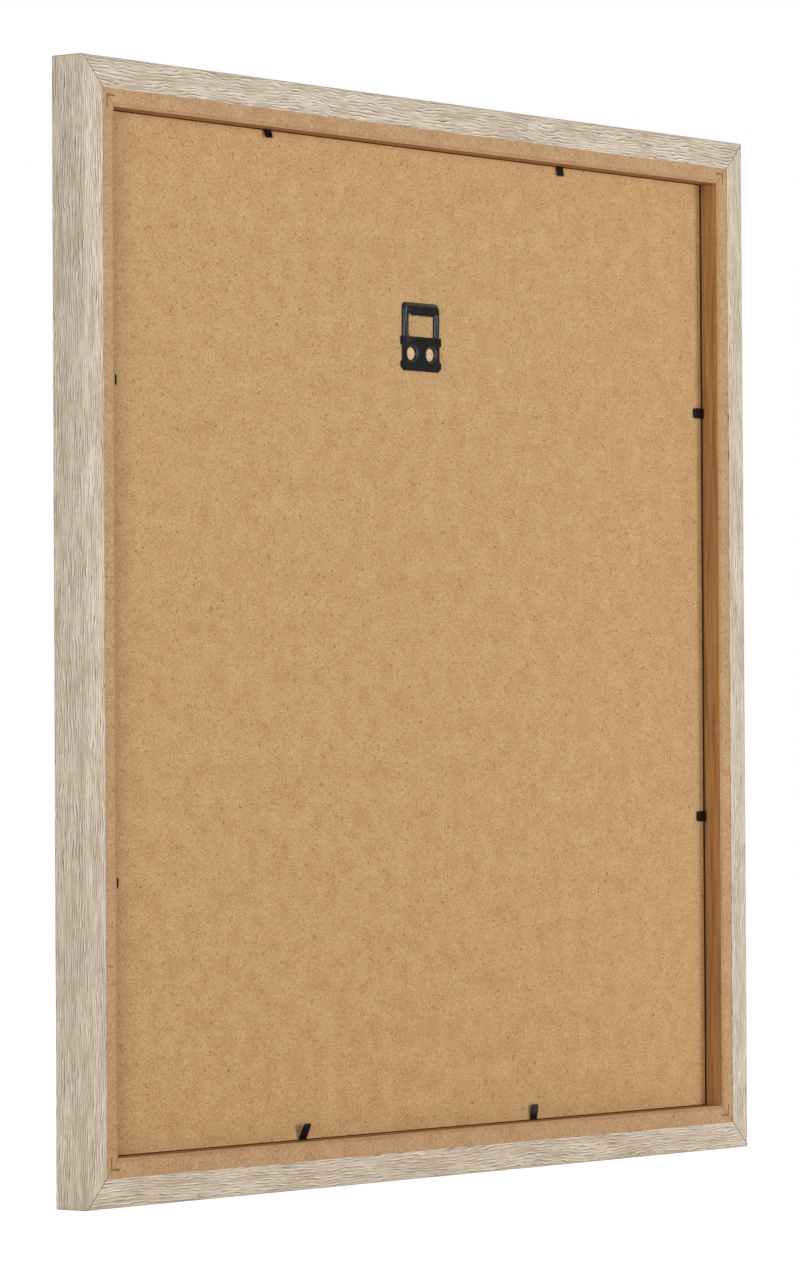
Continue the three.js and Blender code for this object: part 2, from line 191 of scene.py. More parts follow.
def shade(shape: bmesh.types.BMesh, crease: float) -> None:
    """Makes a shape's rounds shade smoothly and keeps its sharp edges.

    Args:
        shape: Closed shape with its doubles merged.
        crease: Angle in degrees from which an edge stays sharp.
    """
    for face in shape.faces:
        face.smooth = True
    for edge in shape.edges:
        edge.smooth = len(edge.link_faces) == 2 and edge.calc_face_angle() < math.radians(crease)


def soft_copy(node: Piece, name: str, crease: float) -> Piece:
    """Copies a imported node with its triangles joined, so that its rounds shade smoothly.

    Args:
        node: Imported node, which is left as it is.
        name: Name of the copy.
        crease: Angle in degrees from which an edge stays sharp.

    Returns:
        The copy, as a new object.
    """
    shape = bmesh.new()
    shape.from_mesh(node.data)
    bmesh.ops.remove_doubles(shape, verts=shape.verts, dist=SAME_POINT * MM)
    bmesh.ops.dissolve_limit(
        shape,
        angle_limit=math.radians(SAME_PLANE),
        verts=shape.verts,
        edges=shape.edges,
        delimit={"NORMAL"},
    )
    shade(shape, crease)
    mesh = bpy.data.meshes.new(name)
    shape.to_mesh(mesh)
    shape.free()
    return link_mesh(name, mesh)


class Grain(Enum):
    """Which way the grain of a rail runs."""

    LEVEL = "level"
    UPRIGHT = "upright"

    def stretch(self, along: float, across: float) -> Triple:
        """Gives the scale of a pattern with these sizes in millimetres along and across the grain."""
        if self is Grain.LEVEL:
            return per_mm(along, across, across)
        return per_mm(across, across, along)


@dataclass(frozen=True)
class MitreLine:
    """The dark hairline along the 45 degree joints of a square frame, where shadow and glue show."""

    centre_height: float
    # Distances from the joint, along a rail, up to which the line is full and at which it is gone
    fade: Fade = (0.2, 0.5)

    def share(self, tree: Tree, axes: bpy.types.NodeOutputs, strength: float) -> Socket:
        """Adds the nodes that find the joint.

        Args:
            tree: Tree of the material.
            axes: X, Y and Z of the point in metres.
            strength: How dark the line is on this material, from zero to one.

        Returns:
            Socket that is up to the strength on the joint and zero away from it.
        """
        level = add_node(tree, "ShaderNodeMath", {0: axes["X"]}, operation="ABSOLUTE").outputs[0]
        middle = self.centre_height * MM
        height = add_node(tree, "ShaderNodeMath", {0: axes["Z"], 1: middle}, operation="SUBTRACT").outputs[0]
        upright = add_node(tree, "ShaderNodeMath", {0: height}, operation="ABSOLUTE").outputs[0]
        apart = add_node(tree, "ShaderNodeMath", {0: level, 1: upright}, operation="SUBTRACT").outputs[0]
        distance = add_node(tree, "ShaderNodeMath", {0: apart}, operation="ABSOLUTE").outputs[0]
        full, gone = self.fade
        return add_node(
            tree,
            "ShaderNodeMapRange",
            {
                "Value": distance,
                "From Min": full * MM,
                "From Max": gone * MM,
                "To Min": strength,
                "To Max": 0,
            },
        ).outputs[0]


@dataclass(frozen=True)
class OakFoil:
    """Printed decor foil, embossed like weathered oak.

    It gives the eye a dull grey-beige ruled by brown pores that waver along the rail. Each pore has a pale
    lip, a painted highlight where the embossing would catch the light. Every few centimetres a calm band
    crosses the rail, in which the pores fade out.
    """

    mitre: MitreLine
    pale: str = "dbceb9"
    deep: str = "b7a58d"
    pore: str = "685642"
    # Colour of the painted highlight on each pore's lip
    lip_highlight: str = "f8f1e5"
    joint: str = "4e4133"
    joint_strength: float = 0.6
    # Real pores lie closer and are about 0.3 mm wide. They are drawn coarser, or they would not show.
    spacing: float = 1.6
    # How many rows a pore wanders on a long and on a short stretch
    sway: float = 5
    ripple: float = 1.7
    # Shares of a row over which a pore and its painted highlight lip come in
    pore_fade: Fade = (0.38, 0.1)
    lip_highlight_fade: Fade = (0.55, 0.95)
    # A calm band's spacing, how many bands it wanders, where it ends as shares of its spacing, and what it
    # leaves of a pore
    band: float = 34
    band_sway: float = 2.5
    band_fade: Fade = (0.04, 0.16)
    band_rest: float = 0.15
    # Where a pore opens in the field of its ends, and what is left of it outside
    open_fade: Fade = (0.4, 0.62)
    open_rest: float = 0.08
    fibre_weight: float = 0.8
    tone_fade: Fade = (0.68, 1.12)
    emboss: float = 0.08
    emboss_strength: float = 0.45
    # Roughness of the deep and of the pale ground
    roughness: Fade = (0.62, 0.48)
    ior: float = 1.46
    reflectance: float = 0.3

    def build(self, grain: Grain) -> Material:
        """Makes the foil's material for rails of one direction.

        Args:
            grain: Direction of the rail.

        Returns:
            The material.
        """
        material, tree = empty_material(f"oak_foil_{grain.value}")
        place = add_node(tree, "ShaderNodeTexCoord").outputs["Object"]
        axes = add_node(tree, "ShaderNodeSeparateXYZ", {0: place}).outputs
        along, across, side = self.unfold(tree, axes, grain)
        sheet = add_node(tree, "ShaderNodeCombineXYZ", {"X": along, "Y": across, "Z": side}).outputs[0]
        noise = self.scatter(tree, sheet)
        shown = self.pores_shown(tree, along, noise)
        dark_share, painted_highlight_share = self.rule(tree, across, noise, shown)

        fibred = add_node(
            tree,
            "ShaderNodeMath",
            {0: noise["fibre"], 1: self.fibre_weight, 2: noise["streak"]},
            operation="MULTIPLY_ADD",
        )
        tone = add_node(
            tree,
            "ShaderNodeMapRange",
            {"Value": fibred.outputs[0], "From Min": self.tone_fade[0], "From Max": self.tone_fade[1]},
        ).outputs[0]
        colour = add_node(
            tree, "ShaderNodeMix", {0: tone, 6: linear(self.deep), 7: linear(self.pale)}, data_type="RGBA"
        )
        # Painted highlights on the lips, then the pores and the mitre line
        for share, tint in (
            (painted_highlight_share, self.lip_highlight),
            (dark_share, self.pore),
            (self.mitre.share(tree, axes, self.joint_strength), self.joint),
        ):
            colour = add_node(
                tree, "ShaderNodeMix", {0: share, 6: colour.outputs[2], 7: linear(tint)}, data_type="RGBA"
            )
        height = add_node(tree, "ShaderNodeMath", {0: tone, 1: dark_share}, operation="SUBTRACT")
        bump = add_node(
            tree,
            "ShaderNodeBump",
            {"Height": height.outputs[0], "Strength": self.emboss_strength, "Distance": self.emboss * MM},
        )
        rough, smooth = self.roughness
        gloss = add_node(tree, "ShaderNodeMapRange", {"Value": tone, "To Min": rough, "To Max": smooth})
        shader = add_node(
            tree,
            "ShaderNodeBsdfPrincipled",
            {
                "Base Color": colour.outputs[2],
                "Roughness": gloss.outputs[0],
                "Normal": bump.outputs[0],
                "IOR": self.ior,
                "Specular IOR Level": self.reflectance,
            },
        )
        add_node(tree, "ShaderNodeOutputMaterial", {"Surface": shader.outputs[0]})
        return material

    def unfold(self, tree: Tree, axes: bpy.types.NodeOutputs, grain: Grain) -> tuple[Socket, Socket, Socket]:
        """Lays the foil flat: it is one sheet, so its width carries on in depth past the rail's outer edge.

        Args:
            tree: Tree of the material.
            axes: X, Y and Z of the point in metres.
            grain: Direction of the rail.

        Returns:
            The place along the rail, the place across the sheet, and a sign that tells opposite rails apart.
        """
        along, over = (axes["X"], axes["Z"]) if grain is Grain.LEVEL else (axes["Z"], axes["X"])
        middle = self.mitre.centre_height * MM if grain is Grain.LEVEL else 0
        from_middle = add_node(tree, "ShaderNodeMath", {0: over, 1: middle}, operation="SUBTRACT").outputs[0]
        reach = add_node(tree, "ShaderNodeMath", {0: from_middle}, operation="ABSOLUTE").outputs[0]
        across = add_node(tree, "ShaderNodeMath", {0: reach, 1: axes["Y"]}, operation="SUBTRACT").outputs[0]
        side = add_node(tree, "ShaderNodeMath", {0: from_middle}, operation="SIGN").outputs[0]
        return along, across, side

    def scatter(self, tree: Tree, sheet: Socket) -> dict[str, Socket]:
        """Adds the fields of noise that make the print uneven.

        Args:
            tree: Tree of the material.
            sheet: Place on the flat sheet.

        Returns:
            The fields by name.
        """
        # Millimetres along and across the grain, and octaves
        fields = {
            "sway": (70, 22, 1),
            "ripple": (11, 6, 1),
            "ends": (8, 1.5, 1),
            "bend": (50, 26, 1),
            "streak": (22, 3.4, 2),
            "fibre": (9, 0.9, 2),
        }
        noise = {}
        for name, (length, width, octaves) in fields.items():
            scale = per_mm(length, width)
            at = add_node(tree, "ShaderNodeVectorMath", {0: sheet, 1: scale}, operation="MULTIPLY")
            noise[name] = add_node(
                tree, "ShaderNodeTexNoise", {"Vector": at.outputs[0], "Scale": 1, "Detail": octaves}
            ).outputs["Fac"]
        return noise

    def pores_shown(self, tree: Tree, along: Socket, noise: dict[str, Socket]) -> Socket:
        """Finds how much of a pore shows: little in a calm band, and little past its end.

        Args:
            tree: Tree of the material.
            along: Place along the rail.
            noise: Fields of noise.

        Returns:
            Socket with the share of a pore that shows.
        """
        crossing = add_node(tree, "ShaderNodeMath", {0: along, 1: self.band * MM}, operation="DIVIDE")
        bent = add_node(
            tree,
            "ShaderNodeMath",
            {0: noise["bend"], 1: self.band_sway, 2: crossing.outputs[0]},
            operation="MULTIPLY_ADD",
        )
        in_band = add_node(tree, "ShaderNodeMath", {0: bent.outputs[0]}, operation="FRACT")
        off_band = add_node(tree, "ShaderNodeMath", {0: in_band.outputs[0], 1: 0.5}, operation="SUBTRACT")
        from_band = add_node(tree, "ShaderNodeMath", {0: off_band.outputs[0]}, operation="ABSOLUTE")
        shares = []
        for value, (start, full), rest in (
            (from_band.outputs[0], self.band_fade, self.band_rest),
            (noise["ends"], self.open_fade, self.open_rest),
        ):
            share = add_node(
                tree,
                "ShaderNodeMapRange",
                {"Value": value, "From Min": start, "From Max": full, "To Min": rest},
            )
            shares.append(share.outputs[0])
        return add_node(tree, "ShaderNodeMath", dict(enumerate(shares)), operation="MULTIPLY").outputs[0]

    def rule(self, tree: Tree, across: Socket, noise: dict[str, Socket], shown: Socket) -> list[Socket]:
        """Rules the sheet with wavering pores, each with a pale lip beside it that is a painted highlight.

        Args:
            tree: Tree of the material.
            across: Place across the sheet.
            noise: Fields of noise.
            shown: Share of a pore that shows.

        Returns:
            Sockets with the shares of the dark pores and of the pale lips, which are painted highlights.
        """
        row = add_node(tree, "ShaderNodeMath", {0: across, 1: self.spacing * MM}, operation="DIVIDE")
        for name, rows in (("sway", self.sway), ("ripple", self.ripple)):
            row = add_node(
                tree,
                "ShaderNodeMath",
                {0: noise[name], 1: rows, 2: row.outputs[0]},
                operation="MULTIPLY_ADD",
            )
        in_row = add_node(tree, "ShaderNodeMath", {0: row.outputs[0]}, operation="FRACT").outputs[0]
        shares = []
        for start, full in (self.pore_fade, self.lip_highlight_fade):
            line = add_node(
                tree,
                "ShaderNodeMapRange",
                {"Value": in_row, "From Min": start, "From Max": full},
                interpolation_type="SMOOTHSTEP",
            )
            share = add_node(tree, "ShaderNodeMath", {0: line.outputs[0], 1: shown}, operation="MULTIPLY")
            shares.append(share.outputs[0])
        return shares


@dataclass(frozen=True)
class Fibreboard:
    """Wood fibre pressed with resin: a matt brown ground, a little cloudy over a centimetre or two.

    Close to, it is full of small dark and pale fibre ends, with short crooked fibres and a few bark specks
    between them. A milled face shows the open core, which is darker and redder than the pressed skin, has
    few pale ends and is streaked by the cutter. The foot of a rabbet's wall, in the gap beside the board,
    gets a painted shade. A pressed collar leaves a paler plug where it crushed the skin.
    """

    name: str
    pale: str
    deep: str
    pale_end: str
    dark_end: str
    bark: str
    milled: str
    streak: str
    cloud: float
    contrast: float
    joint: str = "5a4028"
    joint_strength: float = 0.12
    mitre: MitreLine | None = None
    # Depth under the back at which the painted shade on the foot of a wall starts, at the gap beside the
    # board
    shade_depth: float | None = None
    shade_blend: float = 0.3
    shade_cover: float = 0.8
    # Colour of the painted shade at the foot of a wall
    foot_shade: str = "1a120a"
    # Fibre ends are about 0.1 mm across. They are drawn coarser, or they would not show in the render.
    speck: float = 0.85
    crook: float = 3.2
    # Half the width of a fibre, as a value of the field that it follows
    crook_width: float = 0.035
    bark_spacing: float = 1.7
    streak_length: float = 45
    streak_width: float = 1.8
    # How squarely a face looks back: up to the first value it is milled, and from the second it is skin
    skin_fade: Fade = (0.89, 0.975)
    milled_cover: float = 0.8
    plug: str = "e4c69c"
    plug_radius: float = 0
    # Share of the radius inside which the plug is full, and how much it covers there
    plug_core: float = 0.8
    plug_cover: float = 0.9
    plug_places: tuple[tuple[float, float], ...] = ()
    tooth: float = 0.12
    tooth_strength: float = 0.4
    # Roughness of the deep and of the pale clouds
    roughness: Fade = (0.92, 0.76)
    ior: float = 1.48
    reflectance: float = 0.2

    def build(self, grain: Grain) -> Material:
        """Makes the fibreboard's material.

        Args:
            grain: Direction in which the cutter ran along the milled faces.

        Returns:
            The material.
        """
        material, tree = empty_material(f"{self.name}_{grain.value}")
        place = add_node(tree, "ShaderNodeTexCoord").outputs["Object"]
        noise = self.scatter(tree, place, grain)
        share = self.shares(tree, noise)
        ground, core = (
            add_node(
                tree,
                "ShaderNodeMix",
                {0: share[name], 6: linear(deep), 7: linear(pale)},
                data_type="RGBA",
            ).outputs[2]
            for name, deep, pale in (("cloud", self.deep, self.pale), ("streak", self.streak, self.milled))
        )
        # The cutter takes the pale ends off, so they lie under the milled core.
        layers = [
            (share["pale end"], linear(self.pale_end)),
            (self.milled_share(tree), core),
            *((self.plug_share(tree, place, x, z), linear(self.plug)) for x, z in self.plug_places),
            (share["dark end"], linear(self.dark_end)),
            (self.fibre_share(tree, noise["crook"], share["broken"]), linear(self.dark_end)),
            (share["bark"], linear(self.bark)),
            # The mitre lines, and the painted shade at the foot of the walls
            *self.stains_and_shade(tree, place),
        ]
        colour = ground
        for cover, tint in layers:
            colour = add_node(
                tree, "ShaderNodeMix", {0: cover, 6: colour, 7: tint}, data_type="RGBA"
            ).outputs[2]
        bump = add_node(
            tree,
            "ShaderNodeBump",
            {"Height": noise["speck"], "Strength": self.tooth_strength, "Distance": self.tooth * MM},
        )
        rough, smooth = self.roughness
        gloss = add_node(
            tree, "ShaderNodeMapRange", {"Value": share["cloud"], "To Min": rough, "To Max": smooth}
        )
        shader = add_node(
            tree,
            "ShaderNodeBsdfPrincipled",
            {
                "Base Color": colour,
                "Roughness": gloss.outputs[0],
                "Normal": bump.outputs[0],
                "IOR": self.ior,
                "Specular IOR Level": self.reflectance,
            },
        )
        add_node(tree, "ShaderNodeOutputMaterial", {"Surface": shader.outputs[0]})
        return material

    def scatter(self, tree: Tree, place: Socket, grain: Grain) -> dict[str, Socket]:
        """Adds the fields of noise that make the board uneven.

        Args:
            tree: Tree of the material.
            place: Point on the piece.
            grain: Direction in which the cutter ran.

        Returns:
            The fields by name.
        """
        fields = {
            "cloud": (per_mm(self.cloud), {"Detail": 4}),
            "speck": (per_mm(self.speck), {"Detail": 2, "Roughness": 0.6, "Distortion": 0.8}),
            "crook": (per_mm(self.crook), {"Detail": 1, "Distortion": 1.2}),
            "bark": (per_mm(self.bark_spacing), {"Detail": 1}),
            "streak": (grain.stretch(self.streak_length, self.streak_width), {"Detail": 3}),
        }
        noise = {}
        for name, (scale, texture) in fields.items():
            at = add_node(tree, "ShaderNodeVectorMath", {0: place, 1: scale}, operation="MULTIPLY")
            noise[name] = add_node(
                tree, "ShaderNodeTexNoise", {"Vector": at.outputs[0], "Scale": 1, **texture}
            ).outputs["Fac"]
        return noise

    def shares(self, tree: Tree, noise: dict[str, Socket]) -> dict[str, Socket]:
        """Turns the fields of noise into shares of colour.

        Args:
            tree: Tree of the material.
            noise: Fields of noise.

        Returns:
            The shares by name.
        """
        # Field of noise, its values at which a share starts and is full, and how much the share covers then
        fades = {
            "cloud": ("cloud", 0.3, 0.7, 1),
            "streak": ("streak", 0.35, 0.65, 1),
            "dark end": ("speck", 0.53, 0.72, 0.85 * self.contrast),
            "pale end": ("speck", 0.47, 0.3, 0.6 * self.contrast),
            "broken": ("bark", 0.5, 0.6, 0.7 * self.contrast),
            "bark": ("bark", 0.7, 0.78, 0.75 * self.contrast),
        }
        return {
            name: add_node(
                tree,
                "ShaderNodeMapRange",
                {"Value": noise[source], "From Min": start, "From Max": full, "To Max": cover},
            ).outputs[0]
            for name, (source, start, full, cover) in fades.items()
        }

    def fibre_share(self, tree: Tree, crook: Socket, broken: Socket) -> Socket:
        """Draws crooked fibres where a field crosses its middle, and breaks them into short ones.

        Args:
            tree: Tree of the material.
            crook: Field of noise that the fibres follow.
            broken: Share of a fibre that shows.

        Returns:
            Socket with the share of the fibres.
        """
        off_line = add_node(tree, "ShaderNodeMath", {0: crook, 1: 0.5}, operation="SUBTRACT")
        distance = add_node(tree, "ShaderNodeMath", {0: off_line.outputs[0]}, operation="ABSOLUTE")
        line = add_node(
            tree,
            "ShaderNodeMapRange",
            {"Value": distance.outputs[0], "From Max": self.crook_width, "To Min": 1, "To Max": 0},
        )
        return add_node(
            tree, "ShaderNodeMath", {0: line.outputs[0], 1: broken}, operation="MULTIPLY"
        ).outputs[0]

    def milled_share(self, tree: Tree) -> Socket:
        """Finds the walls and bevels that a cutter opened.

        Args:
            tree: Tree of the material.

        Returns:
            Socket with the share of the open core.
        """
        milled, skin = self.skin_fade
        return add_node(
            tree,
            "ShaderNodeMapRange",
            {
                "Value": facing_back(tree),
                "From Min": milled,
                "From Max": skin,
                "To Min": self.milled_cover,
                "To Max": 0,
            },
        ).outputs[0]

    def plug_share(self, tree: Tree, place: Socket, x: float, z: float) -> Socket:
        """Finds the plug inside a pressed collar.

        Args:
            tree: Tree of the material.
            place: Point on the piece.
            x: Place of the plug across the board.
            z: Height of the plug.

        Returns:
            Socket with the share of the plug's colour.
        """
        centre = (x * MM, 0, z * MM)
        away = add_node(tree, "ShaderNodeVectorMath", {0: place, 1: centre}, operation="SUBTRACT")
        in_plane = (1, 0, 1)
        flat = add_node(
            tree, "ShaderNodeVectorMath", {0: away.outputs[0], 1: in_plane}, operation="MULTIPLY"
        )
        radius = add_node(tree, "ShaderNodeVectorMath", {0: flat.outputs[0]}, operation="LENGTH")
        return add_node(
            tree,
            "ShaderNodeMapRange",
            {
                "Value": radius.outputs["Value"],
                "From Min": self.plug_radius * MM,
                "From Max": self.plug_core * self.plug_radius * MM,
                "To Max": self.plug_cover,
            },
        ).outputs[0]

    def stains_and_shade(self, tree: Tree, place: Socket) -> list[tuple[Socket, Colour]]:
        """Finds the dark mitres and the painted shade at the foot of a rail.

        Args:
            tree: Tree of the material.
            place: Point on the piece.

        Returns:
            Each mark's share and colour: glue and shadow on the mitres, and painted shade at the foot; or
            nothing for a plain sheet.
        """
        if self.mitre is None or self.shade_depth is None:
            return []
        axes = add_node(tree, "ShaderNodeSeparateXYZ", {0: place}).outputs
        # Painted shade: darkens the foot of a wall below the board's face, where the gap beside the board
        # lies
        painted_shade = add_node(
            tree,
            "ShaderNodeMapRange",
            {
                "Value": axes["Y"],
                "From Min": -self.shade_depth * MM,
                "From Max": -(self.shade_depth + self.shade_blend) * MM,
                "To Max": self.shade_cover,
            },
        )
        return [
            (self.mitre.share(tree, axes, self.joint_strength), linear(self.joint)),
            (painted_shade.outputs[0], linear(self.foot_shade)),
        ]


@dataclass(frozen=True)
class Steel:
    """Thin sheet or strip of steel: blackened and lightly waxed, or left as drawn.

    The oxide and the wax hide the metal of a blackened one, which gives a deep satin that mirrors little. Its
    formed edges and shoulders may be burnished by the press, so that they catch the light and the flats stay
    dull. The drawn one is a dull brown, stained by glue and by the board's damp.
    """

    name: str
    colour: str
    stain: str
    metallic: float
    reflectance: float
    smooth: float
    rough: float
    # Reflectance of the formed surfaces, where the press burnished them
    burnished: float | None = None
    # How squarely a face looks back: up to the first value it is formed, and from the second it is flat
    flat_fade: Fade = (0.98, 0.997)
    # Scuffs are finer than this on real parts. They are drawn at a size that shows in a close view.
    scuff: float = 1.6
    scuff_depth: float = 0.05
    scuff_strength: float = 0.15
    stain_fade: Fade = (0.45, 0.7)
    gloss_fade: Fade = (0.3, 0.7)

    def build(self) -> Material:
        """Makes the steel's material.

        Returns:
            The material.
        """
        material, tree = empty_material(self.name)
        place = add_node(tree, "ShaderNodeTexCoord").outputs["Object"]
        at = add_node(tree, "ShaderNodeVectorMath", {0: place, 1: per_mm(self.scuff)}, operation="MULTIPLY")
        scuff = add_node(
            tree,
            "ShaderNodeTexNoise",
            {"Vector": at.outputs[0], "Scale": 1, "Detail": 4, "Roughness": 0.6},
        ).outputs["Fac"]
        stained, gloss = (
            add_node(
                tree,
                "ShaderNodeMapRange",
                {"Value": scuff, "From Min": start, "From Max": full, "To Min": low, "To Max": high},
            ).outputs[0]
            for (start, full), low, high in (
                (self.stain_fade, 0, 1),
                (self.gloss_fade, self.smooth, self.rough),
            )
        )
        colour = add_node(
            tree,
            "ShaderNodeMix",
            {0: stained, 6: linear(self.colour), 7: linear(self.stain)},
            data_type="RGBA",
        )
        bump = add_node(
            tree,
            "ShaderNodeBump",
            {"Height": scuff, "Strength": self.scuff_strength, "Distance": self.scuff_depth * MM},
        )
        shader = add_node(
            tree,
            "ShaderNodeBsdfPrincipled",
            {
                "Base Color": colour.outputs[2],
                "Roughness": gloss,
                "Metallic": self.metallic,
                "Specular IOR Level": self.mirror(tree),
                "Normal": bump.outputs[0],
            },
        )
        add_node(tree, "ShaderNodeOutputMaterial", {"Surface": shader.outputs[0]})
        return material

    def mirror(self, tree: Tree) -> Socket | float:
        """Finds how much the surface mirrors.

        Args:
            tree: Tree of the material.

        Returns:
            One value for the whole piece, or a socket where the formed surfaces are burnished.
        """
        if self.burnished is None:
            return self.reflectance
        formed, flat = self.flat_fade
        return add_node(
            tree,
            "ShaderNodeMapRange",
            {
                "Value": facing_back(tree),
                "From Min": formed,
                "From Max": flat,
                "To Min": self.burnished,
                "To Max": self.reflectance,
            },
        ).outputs[0]


@dataclass(frozen=True)
class FloatGlass:
    """Clear soda-lime float glass: a faint green in its thickness, and faces that are a little smeared."""

    colour: str = "fefffe"
    # Smears are half as wide as they are tall.
    smear: float = 60
    smear_fade: Fade = (0.4, 0.7)
    # Roughness where it is clean and where it is smeared
    roughness: Fade = (0.01, 0.06)
    ior: float = 1.52

    def build(self) -> Material:
        """Makes the glass.

        Returns:
            The material.
        """
        material, tree = empty_material("float_glass")
        place = add_node(tree, "ShaderNodeTexCoord").outputs["Object"]
        scale = per_mm(self.smear, self.smear, 2 * self.smear)
        at = add_node(tree, "ShaderNodeVectorMath", {0: place, 1: scale}, operation="MULTIPLY")
        smear = add_node(tree, "ShaderNodeTexNoise", {"Vector": at.outputs[0], "Scale": 1, "Detail": 4})
        gloss = add_node(
            tree,
            "ShaderNodeMapRange",
            {
                "Value": smear.outputs["Fac"],
                "From Min": self.smear_fade[0],
                "From Max": self.smear_fade[1],
                "To Min": self.roughness[0],
                "To Max": self.roughness[1],
            },
        )
        shader = add_node(
            tree,
            "ShaderNodeBsdfPrincipled",
            {
                "Base Color": linear(self.colour),
                "Roughness": gloss.outputs[0],
                "IOR": self.ior,
                "Transmission Weight": 1.0,
            },
        )
        add_node(tree, "ShaderNodeOutputMaterial", {"Surface": shader.outputs[0]})
        return material


@dataclass(frozen=True)
class InsertPaper:
    """Plain uncoated card: warm white, dull, with a faint cloud of fibres."""

    pale: str = "f4f2ec"
    deep: str = "e9e6de"
    cloud: float = 2.5
    tooth: float = 0.05
    tooth_strength: float = 0.2
    roughness: float = 0.9

    def build(self) -> Material:
        """Makes the card.

        Returns:
            The material.
        """
        material, tree = empty_material("uncoated_card")
        place = add_node(tree, "ShaderNodeTexCoord").outputs["Object"]
        at = add_node(tree, "ShaderNodeVectorMath", {0: place, 1: per_mm(self.cloud)}, operation="MULTIPLY")
        cloud = add_node(
            tree,
            "ShaderNodeTexNoise",
            {"Vector": at.outputs[0], "Scale": 1, "Detail": 5, "Roughness": 0.7},
        ).outputs["Fac"]
        colour = add_node(
            tree, "ShaderNodeMix", {0: cloud, 6: linear(self.deep), 7: linear(self.pale)}, data_type="RGBA"
        )
        bump = add_node(
            tree,
            "ShaderNodeBump",
            {"Height": cloud, "Strength": self.tooth_strength, "Distance": self.tooth * MM},
        )
        shader = add_node(
            tree,
            "ShaderNodeBsdfPrincipled",
            {"Base Color": colour.outputs[2], "Roughness": self.roughness, "Normal": bump.outputs[0]},
        )
        add_node(tree, "ShaderNodeOutputMaterial", {"Surface": shader.outputs[0]})
        return material


